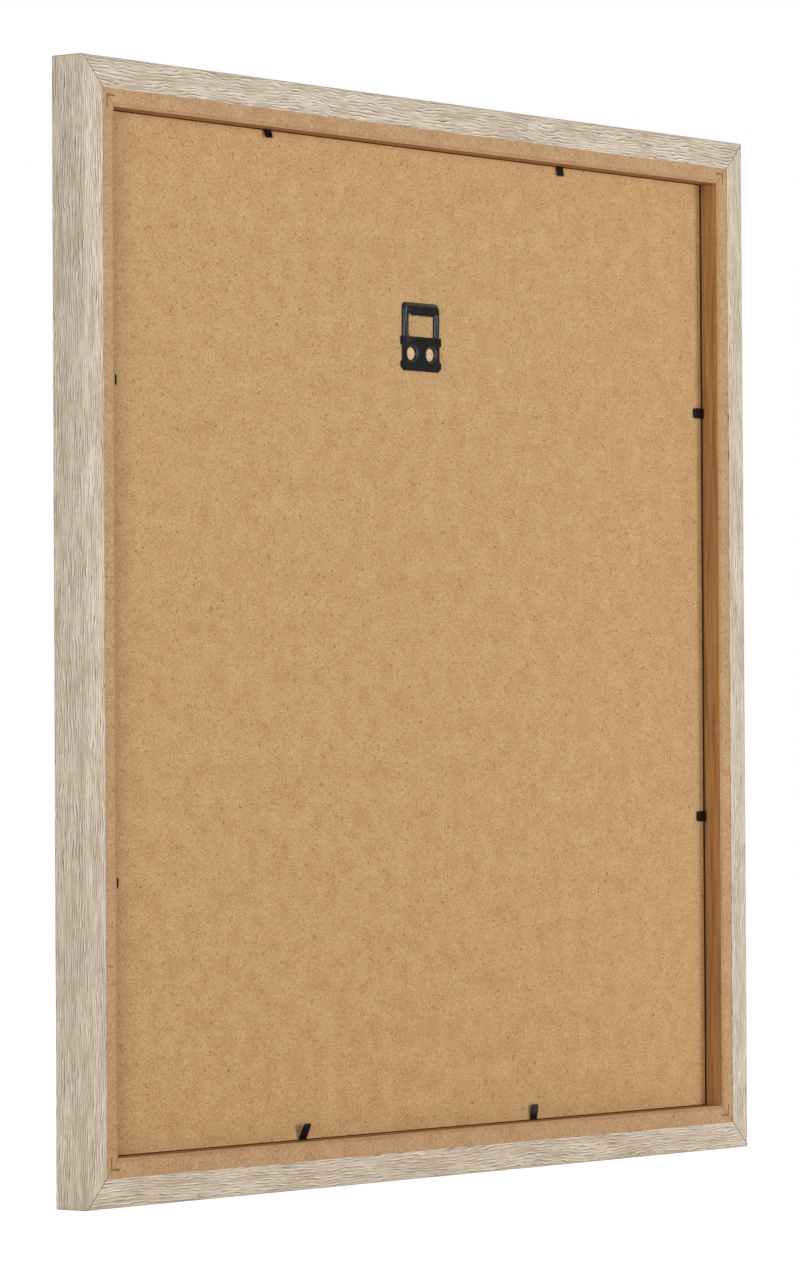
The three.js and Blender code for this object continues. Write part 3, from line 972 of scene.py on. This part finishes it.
@dataclass
class BentStrip:
    """A flat steel strip with one bend, drawn by a tree of geometry nodes.

    The strip lies along X with the crossing of its two straight legs at the origin. Its width lies along Y,
    and the far leg turns up towards Z. The driven end has cut corners and the far end has round ones.
    """

    width: float
    thickness: float
    near_leg: float
    far_leg: float
    lead: float
    tip_radius: float
    bend_radius: float
    turn: float
    bend_zone: float = 0.8
    crease: float = 35
    # Columns of the blank at which the cut corners, the near leg, the bend, the far leg and the round tip end
    columns: ClassVar[tuple[int, ...]] = (2, 6, 26, 32, 42)
    rows: ClassVar[int] = 4

    def sizes(self) -> dict[str, float]:
        """Gives the named inputs of the tree, in metres and radians."""
        return {
            "Width": self.width * MM,
            "Thickness": self.thickness * MM,
            "Near leg": self.near_leg * MM,
            "Far leg": self.far_leg * MM,
            "Lead": self.lead * MM,
            "Tip radius": self.tip_radius * MM,
            "Bend radius": self.bend_radius * MM,
            "Bend zone": self.bend_zone * MM,
            "Turn": math.radians(self.turn),
        }

    def tree(self) -> Tree:
        """Finds the strip's tree, or builds it the first time.

        Returns:
            The tree of geometry nodes, with one named input for each size and one for the material.
        """
        found = bpy.data.node_groups.get("bent_steel_strip")
        if found:
            return found
        tree = bpy.data.node_groups.new("bent_steel_strip", "GeometryNodeTree")
        tree.interface.new_socket("Geometry", in_out="OUTPUT", socket_type="NodeSocketGeometry")
        for name in self.sizes():
            tree.interface.new_socket(name, in_out="INPUT", socket_type="NodeSocketFloat")
        tree.interface.new_socket("Material", in_out="INPUT", socket_type="NodeSocketMaterial")
        given = add_node(tree, "NodeGroupInput").outputs

        blank = add_node(
            tree,
            "GeometryNodeMeshCube",
            {
                "Size": (1, 1, 1),
                "Vertices X": self.columns[-1] + 1,
                "Vertices Y": self.rows + 1,
                "Vertices Z": 2,
            },
        )
        spot = add_node(tree, "GeometryNodeInputPosition").outputs[0]
        axes = add_node(tree, "ShaderNodeSeparateXYZ", {0: spot}).outputs
        share = add_node(tree, "ShaderNodeMath", {0: axes["X"], 1: 0.5}, operation="ADD").outputs[0]
        along, width = self.lay_out(tree, given, share)
        across = add_node(tree, "ShaderNodeMath", {0: axes["Y"], 1: width}, operation="MULTIPLY").outputs[0]
        above = add_node(tree, "ShaderNodeMath", {0: axes["Z"], 1: given["Thickness"]}, operation="MULTIPLY")
        x, z = self.fold(tree, given, along, above.outputs[0])
        place = add_node(tree, "ShaderNodeCombineXYZ", {"X": x, "Y": across, "Z": z})
        shaped = add_node(
            tree, "GeometryNodeSetPosition", {"Geometry": blank.outputs["Mesh"], "Position": place.outputs[0]}
        )
        solid = add_node(tree, "GeometryNodeRealizeInstances", {"Geometry": shaped.outputs[0]})
        dressed = add_node(
            tree, "GeometryNodeSetMaterial", {"Geometry": solid.outputs[0], "Material": given["Material"]}
        )
        add_node(tree, "NodeGroupOutput", {"Geometry": dressed.outputs[0]})
        return tree

    def lay_out(self, tree: Tree, given: bpy.types.NodeOutputs, share: Socket) -> tuple[Socket, Socket]:
        """Lays the columns of the blank out along the flat strip.

        Args:
            tree: Tree of the strip.
            given: Named inputs of the tree.
            share: Place along the blank, from zero to one.

        Returns:
            The place along the flat strip, and the strip's width there.
        """
        lead_end, bend_start, bend_end, tip_start = (step / self.columns[-1] for step in self.columns[:-1])
        legs = []
        for leg, end in (("Near leg", "Lead"), ("Far leg", "Tip radius")):
            whole = add_node(tree, "ShaderNodeMath", {0: given[leg], 1: given[end]}, operation="SUBTRACT")
            straight = add_node(
                tree, "ShaderNodeMath", {0: whole.outputs[0], 1: given["Bend zone"]}, operation="SUBTRACT"
            )
            legs.append(straight.outputs[0])
        zone = add_node(tree, "ShaderNodeMath", {0: given["Bend zone"], 1: 2}, operation="MULTIPLY")
        start_at = add_node(tree, "ShaderNodeMath", {0: given["Near leg"], 1: -1}, operation="MULTIPLY")
        along = start_at.outputs[0]
        for start, end, length in (
            (0, lead_end, given["Lead"]),
            (lead_end, bend_start, legs[0]),
            (bend_start, bend_end, zone.outputs[0]),
            (bend_end, tip_start, legs[1]),
        ):
            stretch = add_node(
                tree,
                "ShaderNodeMapRange",
                {"Value": share, "From Min": start, "From Max": end, "To Max": length},
            ).outputs[0]
            along = add_node(tree, "ShaderNodeMath", {0: along, 1: stretch}, operation="ADD").outputs[0]

        # The round tip goes on by the sine of its angle, while the cosine narrows it.
        angle = add_node(
            tree, "ShaderNodeMapRange", {"Value": share, "From Min": tip_start, "To Max": math.pi / 2}
        ).outputs[0]
        sine = add_node(tree, "ShaderNodeMath", {0: angle}, operation="SINE").outputs[0]
        along = add_node(
            tree, "ShaderNodeMath", {0: sine, 1: given["Tip radius"], 2: along}, operation="MULTIPLY_ADD"
        ).outputs[0]
        cosine = add_node(tree, "ShaderNodeMath", {0: angle}, operation="COSINE").outputs[0]
        fall = add_node(tree, "ShaderNodeMath", {0: 1, 1: cosine}, operation="SUBTRACT").outputs[0]
        lead_cut = add_node(
            tree,
            "ShaderNodeMapRange",
            {"Value": share, "From Max": lead_end, "To Min": given["Lead"], "To Max": 0},
        ).outputs[0]
        cut = add_node(
            tree, "ShaderNodeMath", {0: fall, 1: given["Tip radius"], 2: lead_cut}, operation="MULTIPLY_ADD"
        ).outputs[0]
        width = add_node(
            tree, "ShaderNodeMath", {0: cut, 1: -2, 2: given["Width"]}, operation="MULTIPLY_ADD"
        ).outputs[0]
        return along, width

    def fold(
        self, tree: Tree, given: bpy.types.NodeOutputs, along: Socket, above: Socket
    ) -> tuple[Socket, Socket]:
        """Bends the flat strip round its bend radius.

        Args:
            tree: Tree of the strip.
            given: Named inputs of the tree.
            along: Place along the flat strip.
            above: Height over the middle of its thickness.

        Returns:
            X and Z of the bent strip.
        """
        radius = given["Bend radius"]
        half_turn = add_node(tree, "ShaderNodeMath", {0: given["Turn"], 1: 0.5}, operation="MULTIPLY")
        tangent = add_node(tree, "ShaderNodeMath", {0: half_turn.outputs[0]}, operation="TANGENT")
        # The bend starts and ends this far from where the straight legs would cross.
        reach = add_node(
            tree, "ShaderNodeMath", {0: tangent.outputs[0], 1: radius}, operation="MULTIPLY"
        ).outputs[0]
        start = add_node(tree, "ShaderNodeMath", {0: reach, 1: -1}, operation="MULTIPLY").outputs[0]
        turned = add_node(
            tree,
            "ShaderNodeMapRange",
            {"Value": along, "From Min": start, "From Max": reach, "To Max": given["Turn"]},
        ).outputs[0]
        sine = add_node(tree, "ShaderNodeMath", {0: turned}, operation="SINE").outputs[0]
        cosine = add_node(tree, "ShaderNodeMath", {0: turned}, operation="COSINE").outputs[0]
        before = add_node(tree, "ShaderNodeMath", {0: along, 1: start}, operation="MINIMUM").outputs[0]
        past = add_node(tree, "ShaderNodeMath", {0: along, 1: reach}, operation="SUBTRACT").outputs[0]
        after = add_node(tree, "ShaderNodeMath", {0: past, 1: 0}, operation="MAXIMUM").outputs[0]
        inner = add_node(tree, "ShaderNodeMath", {0: radius, 1: above}, operation="SUBTRACT").outputs[0]
        drop = add_node(tree, "ShaderNodeMath", {0: inner, 1: cosine}, operation="MULTIPLY").outputs[0]
        round_x = add_node(tree, "ShaderNodeMath", {0: inner, 1: sine, 2: before}, operation="MULTIPLY_ADD")
        round_z = add_node(tree, "ShaderNodeMath", {0: radius, 1: drop}, operation="SUBTRACT")
        x, z = (
            add_node(
                tree, "ShaderNodeMath", {0: after, 1: slope, 2: bend.outputs[0]}, operation="MULTIPLY_ADD"
            ).outputs[0]
            for slope, bend in ((cosine, round_x), (sine, round_z))
        )
        return x, z

    def build(self, name: str, place: Matrix, material: Material) -> Piece:
        """Makes one strip as a plain mesh in its place.

        Args:
            name: Name of the piece.
            place: Where the strip's own axes lie in the row frame.
            material: Steel of the strip.

        Returns:
            The finished piece.
        """
        tree = self.tree()
        blank = link_mesh(f"{name}_blank", bpy.data.meshes.new(f"{name}_blank"))
        modifier = blank.modifiers.new("strip", "NODES")
        modifier.node_group = tree
        given = {**self.sizes(), "Material": material}
        for socket in tree.interface.items_tree:
            if socket.in_out == "INPUT":
                modifier[socket.identifier] = given[socket.name]
        shown = blank.evaluated_get(bpy.context.evaluated_depsgraph_get())
        mesh = bpy.data.meshes.new_from_object(shown)
        bpy.data.objects.remove(blank)
        mesh.name = name
        mesh.transform(place)
        shape = bmesh.new()
        shape.from_mesh(mesh)
        bmesh.ops.remove_doubles(shape, verts=shape.verts, dist=SAME_POINT * MM)
        shade(shape, self.crease)
        shape.to_mesh(mesh)
        shape.free()
        return link_mesh(name, mesh)


@dataclass
class Moulding:
    """Four mitred rails of raw fibreboard, each wrapped in foil from its back round to the sight edge."""

    foil: OakFoil
    core: Fibreboard
    level_rails: tuple[str, ...] = ("top", "bottom")
    upright_rails: tuple[str, ...] = ("left", "right")
    crease: float = 40

    def build(self, nodes: dict[str, Piece]) -> list[Piece]:
        """Dresses the cores and lays smooth foils over them.

        Args:
            nodes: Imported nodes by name.

        Returns:
            The pieces of the moulding.
        """
        pieces = []
        for grain, rails in ((Grain.LEVEL, self.level_rails), (Grain.UPRIGHT, self.upright_rails)):
            core = self.core.build(grain)
            foil = self.foil.build(grain)
            for rail in rails:
                dress(nodes[f"{rail}_rail"], core)
                pieces.append(nodes[f"{rail}_rail"])
                pieces.append(self.wrap(nodes[f"{rail}_rail_foil"], rail, foil))
        return pieces

    def wrap(self, node: Piece, rail: str, foil: Material) -> Piece:
        """Makes one rail's foil with smooth rounded edges.

        Args:
            node: Packed foil that the piece stands for.
            rail: Name of the rail.
            foil: Material with its grain along the rail.

        Returns:
            The foil.
        """
        piece = soft_copy(node, f"{rail}_oak_foil", self.crease)
        dress(piece, foil)
        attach(piece, ROOT_BODY)
        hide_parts(node.name)
        return piece


@dataclass
class CornerNails:
    """Steel V-nails pressed across the back of the four mitres."""

    steel: Steel
    outer: float
    centre_height: float
    inset: float = 18
    wing: float = 6
    thickness: float = 0.5
    length: float = 7
    sink: float = 0.25
    vertex_radius: float = 0.5
    end_radius: float = 0.3

    def build(self) -> list[Piece]:
        """Bends one nail for each corner.

        Returns:
            The four nails.
        """
        steel = self.steel.build()
        leg = self.wing - self.thickness / 2
        strip = BentStrip(
            width=self.length,
            thickness=self.thickness,
            near_leg=leg,
            far_leg=leg,
            lead=self.end_radius,
            tip_radius=self.end_radius,
            bend_radius=self.vertex_radius,
            turn=90,
        )
        vertex = self.outer / 2 - self.inset - self.thickness / 2
        depth = -self.sink - self.length / 2
        pieces = []
        for rail, up in (("top", 1), ("bottom", -1)):
            for hand, side in (("left", -1), ("right", 1)):
                along = Vector((side, 0, 0))
                turned = Vector((0, 0, -up))
                place = Matrix((along, turned.cross(along), turned)).transposed().to_4x4()
                place.translation = Vector((side * vertex, depth, self.centre_height + up * vertex)) * MM
                piece = strip.build(f"corner_nail_{rail}_{hand}", place, steel)
                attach(piece, ROOT_BODY)
                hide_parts(f"v_nail_{rail}_{hand}")
                pieces.append(piece)
        return pieces


@dataclass
class FlexTabs:
    """Eight flat steel points, driven into the rabbet walls and bent by hand over the backing board."""

    steel: Steel
    length: float = 15
    width: float = 5.5
    thickness: float = 0.5
    lead: float = 1.2
    tip_radius: float = 1.3
    bend_radius: float = 0.8
    bend_zone: float = 0.9
    # How far each bend stands out of the wall, and how much of each tab does
    stand_out: float = 0.5
    exposed: dict[str, float] = field(
        default_factory=lambda: {
            "bottom_right": 9.2,
            "bottom_left": 8.5,
            "right_upper": 9,
            "right_lower": 9,
            "top_right": 4.5,
            "top_left": 5.3,
            "left_upper": 9.2,
            "left_lower": 8.3,
        }
    )

    def build(self, joints: list[dict[str, Any]]) -> list[Piece]:
        """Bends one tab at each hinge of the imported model.

        Args:
            joints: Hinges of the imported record.

        Returns:
            The eight tabs.
        """
        steel = self.steel.build()
        return [self.bend(joint, steel) for joint in joints]

    def bend(self, joint: dict[str, Any], steel: Material) -> Piece:
        """Makes one tab as a single strip that bends between the frame and its hinged body.

        Args:
            joint: Hinge at the tab's bend. Its lowest angle lays the tab flat.
            steel: Material of the tab.

        Returns:
            The tab.
        """
        tab = joint["child"].removeprefix("tab_")
        exposed = self.exposed[tab]
        strip = BentStrip(
            width=self.width,
            thickness=self.thickness,
            near_leg=self.length - exposed + self.stand_out,
            far_leg=exposed - self.stand_out,
            lead=self.lead,
            tip_radius=self.tip_radius,
            bend_radius=self.bend_radius,
            turn=-joint["range_deg"][0],
            bend_zone=self.bend_zone,
        )
        hinge = Vector(joint["pos_m"])
        axis = Vector(joint["axis"])
        # Lifting goes towards the frame's back.
        lift = Vector((0, 1, 0))
        inward = lift.cross(axis)
        place = Matrix((inward, -axis, lift)).transposed().to_4x4()
        place.translation = hinge
        piece = strip.build(f"flex_point_{tab}", place, steel)
        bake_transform(piece)
        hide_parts(f"flex_tab_{tab}", f"tab_shank_{tab}")
        return piece


@dataclass
class Pack:
    """What lies in the rabbet: glass, a plain insert and the backing board."""

    glass: FloatGlass
    paper: InsertPaper
    board: Fibreboard

    def build(self, nodes: dict[str, Piece]) -> list[Piece]:
        """Dresses the three sheets.

        Args:
            nodes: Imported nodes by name.

        Returns:
            The three sheets.
        """
        finishes = {
            "glazing_pane": self.glass.build(),
            "picture_insert": self.paper.build(),
            "backing_board": self.board.build(Grain.UPRIGHT),
        }
        for name, finish in finishes.items():
            dress(nodes[name], finish)
        return [nodes[name] for name in finishes]


@dataclass
class Hanger:
    """Stamped sawtooth hanger, its two collars pressed into the board."""

    steel: Steel
    crease: float = 38
    edge: float = 0.12
    edge_segments: int = 2

    def build(self, nodes: dict[str, Piece]) -> list[Piece]:
        """Makes the hanger with its stamped edges broken.

        Args:
            nodes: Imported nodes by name.

        Returns:
            The hanger.
        """
        piece = soft_copy(nodes["sawtooth_hanger"], "stamped_hanger", self.crease)
        rounding = piece.modifiers.new("broken edges", "BEVEL")
        rounding.width = self.edge * MM
        rounding.segments = self.edge_segments
        rounding.limit_method = "ANGLE"
        rounding.angle_limit = math.radians(self.crease)
        rounding.harden_normals = True
        dress(piece, self.steel.build())
        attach(piece, ROOT_BODY)
        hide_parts("sawtooth_hanger")
        return [piece]


@dataclass(frozen=True)
class Softbox:
    """One large lamp. Lengths are in metres, because it stands in the room."""

    name: str
    place: Triple
    size: float
    power: float

    def build(self, target: Vector) -> None:
        """Hangs the lamp and turns it to the target.

        Args:
            target: Point that the lamp looks at.
        """
        lamp = bpy.data.lights.new(self.name, "AREA")
        lamp.shape = "SQUARE"
        lamp.size = self.size
        lamp.energy = self.power
        box = bpy.data.objects.new(self.name, lamp)
        bpy.context.scene.collection.objects.link(box)
        box.location = self.place
        box.rotation_mode = "QUATERNION"
        box.rotation_quaternion = (target - Vector(self.place)).to_track_quat("-Z", "Y")


@dataclass
class Studio:
    """Pale floor, white surroundings, soft lamps and the camera. Lengths are in metres, as in a room."""

    # The frame's lowest height, and how far under it the floor lies
    lowest: float
    floor_gap: float = 0.0001
    floor_size: float = 8
    floor_colour: str = "f4f3f1"
    floor_roughness: float = 0.9
    # Share of white glow in the floor where it is seen directly, and the glow's strength
    glow_share: float = 0.8
    glow_level: float = 1.2
    ambient: float = 0.235
    lamp_target: Triple = (0, 0, -0.166)
    lamps: tuple[Softbox, ...] = (
        Softbox("key_softbox", place=(-2.05, 3.35, 0.15), size=1.2, power=68),
        Softbox("fill_softbox", place=(3.55, 1.7, 0.1), size=1.3, power=71),
        Softbox("front_softbox", place=(-0.9, -1.8, 1.5), size=1.2, power=54),
    )
    # The photograph's view: the point that the camera looks at, and its distance and angles from there
    camera_target: Triple = (0, -0.0251, -0.16236)
    distance: float = 3.01048
    azimuth: float = 38.0259
    elevation: float = -1.2061
    roll: float = -0.3032
    # Focal length and sensor in millimetres
    lens: float = 167.184
    sensor: float = 36

    def build(self) -> None:
        """Sets up the room, its light and the camera."""
        bpy.context.scene.view_settings.view_transform = "Standard"
        self.lay_floor()
        self.light()
        self.place_camera()

    def seen_directly(self, tree: Tree) -> Socket:
        """Adds the test for rays that show the background as it is.

        Args:
            tree: Tree of the floor or the surroundings.

        Returns:
            Socket that is one for camera, mirrored and refracted rays.
        """
        path = add_node(tree, "ShaderNodeLightPath").outputs
        seen = path["Is Camera Ray"]
        for other in (path["Is Glossy Ray"], path["Is Transmission Ray"]):
            seen = add_node(tree, "ShaderNodeMath", {0: seen, 1: other}, operation="MAXIMUM").outputs[0]
        return seen

    def lay_floor(self) -> None:
        """Lays a pale floor that stays white to the eye and still takes the frame's shadow."""
        half = self.floor_size / 2
        height = self.lowest - self.floor_gap
        corners = ((-half, -half), (half, -half), (half, half), (-half, half))
        mesh = bpy.data.meshes.new("studio_floor")
        mesh.from_pydata([(x, y, height) for x, y in corners], [], [(0, 1, 2, 3)])
        material, tree = empty_material("studio_floor_paint")
        paint = add_node(
            tree,
            "ShaderNodeBsdfPrincipled",
            {"Base Color": linear(self.floor_colour), "Roughness": self.floor_roughness},
        )
        glow = add_node(tree, "ShaderNodeEmission", {"Color": (1, 1, 1, 1), "Strength": self.glow_level})
        seen = self.seen_directly(tree)
        share = add_node(tree, "ShaderNodeMath", {0: seen, 1: self.glow_share}, operation="MULTIPLY")
        mixed = add_node(
            tree, "ShaderNodeMixShader", {0: share.outputs[0], 1: paint.outputs[0], 2: glow.outputs[0]}
        )
        add_node(tree, "ShaderNodeOutputMaterial", {"Surface": mixed.outputs[0]})
        floor = link_mesh("studio_floor", mesh)
        dress(floor, material)
        floor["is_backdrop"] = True

    def light(self) -> None:
        """Makes the white surroundings and hangs the lamps."""
        world = bpy.data.worlds.new("white_studio")
        bpy.context.scene.world = world
        world.use_nodes = True
        tree = world.node_tree
        tree.nodes.clear()
        around, white = (
            add_node(tree, "ShaderNodeBackground", {"Color": (1, 1, 1, 1), "Strength": strength}).outputs[0]
            for strength in (self.ambient, 1)
        )
        mixed = add_node(tree, "ShaderNodeMixShader", {0: self.seen_directly(tree), 1: around, 2: white})
        add_node(tree, "ShaderNodeOutputWorld", {"Surface": mixed.outputs[0]})
        for lamp in self.lamps:
            lamp.build(Vector(self.lamp_target))

    def place_camera(self) -> None:
        """Sets the camera at the photograph's viewpoint."""
        lens = bpy.data.cameras.new("studio_camera")
        lens.lens = self.lens
        lens.sensor_width = self.sensor
        camera = bpy.data.objects.new("studio_camera", lens)
        bpy.context.scene.collection.objects.link(camera)
        turn = (
            Matrix.Rotation(math.radians(self.azimuth + 90), 4, "Z")
            @ Matrix.Rotation(math.radians(90 - self.elevation), 4, "X")
            @ Matrix.Rotation(math.radians(self.roll), 4, "Z")
        )
        back_off = Matrix.Translation((0, 0, self.distance))
        camera.matrix_world = Matrix.Translation(self.camera_target) @ turn @ back_off
        bpy.context.scene.camera = camera


def main() -> None:
    """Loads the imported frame, builds each sub-assembly in order and sets up the studio."""
    logging.basicConfig(level=logging.INFO, format="%(name)s: %(message)s")
    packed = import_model()
    packed_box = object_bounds()
    nodes = packed["nodes"]
    low, high = packed_box
    outer = (high.x - low.x) / MM
    centre_height = (low.z + high.z) / 2 / MM

    mitre = MitreLine(centre_height)
    raw_board = Fibreboard(
        name="raw_mdf",
        pale="c6a27a",
        deep="b9946c",
        pale_end="dcbb94",
        dark_end="9a724a",
        bark="6d4a2a",
        milled="b47c41",
        streak="824f24",
        cloud=14,
        contrast=0.95,
        mitre=mitre,
        # Painted shade at the foot of the rabbet walls, below the board's face
        shade_depth=10.8,
    )
    backing_board = Fibreboard(
        name="backing_mdf",
        pale="cea878",
        deep="c09969",
        pale_end="e6c799",
        dark_end="9a7142",
        bark="694826",
        milled="a87c4b",
        streak="93683a",
        cloud=12,
        contrast=0.92,
        plug_radius=3.4,
        plug_places=((-7.9, -20.55), (7.9, -20.55)),
    )
    spring_steel = Steel(
        name="blackened_spring_steel",
        colour="0a0a0a",
        stain="121211",
        metallic=0.0,
        reflectance=0.2,
        smooth=0.2,
        rough=0.36,
    )
    sheet_steel = Steel(
        name="blackened_sheet_steel",
        colour="0a0a0a",
        stain="121211",
        metallic=0.0,
        reflectance=0.06,
        smooth=0.17,
        rough=0.32,
        burnished=0.3,
    )
    nail_steel = Steel(
        name="drawn_nail_steel",
        colour="8c6440",
        stain="6c4829",
        metallic=0.1,
        reflectance=0.4,
        smooth=0.45,
        rough=0.65,
    )

    sections = {
        "moulding": Moulding(OakFoil(mitre), raw_board).build(nodes),
        "corner nails": CornerNails(nail_steel, outer, centre_height).build(),
        "flex tabs": FlexTabs(spring_steel).build(packed["joints"]),
        "pack": Pack(FloatGlass(), InsertPaper(), backing_board).build(nodes),
        "hanger": Hanger(sheet_steel).build(nodes),
    }
    for section, pieces in sections.items():
        for piece in pieces:
            LOG.info("%s: %s", section, piece.name)
    Studio(low.z).build()


if __name__ == "__main__":
    main()
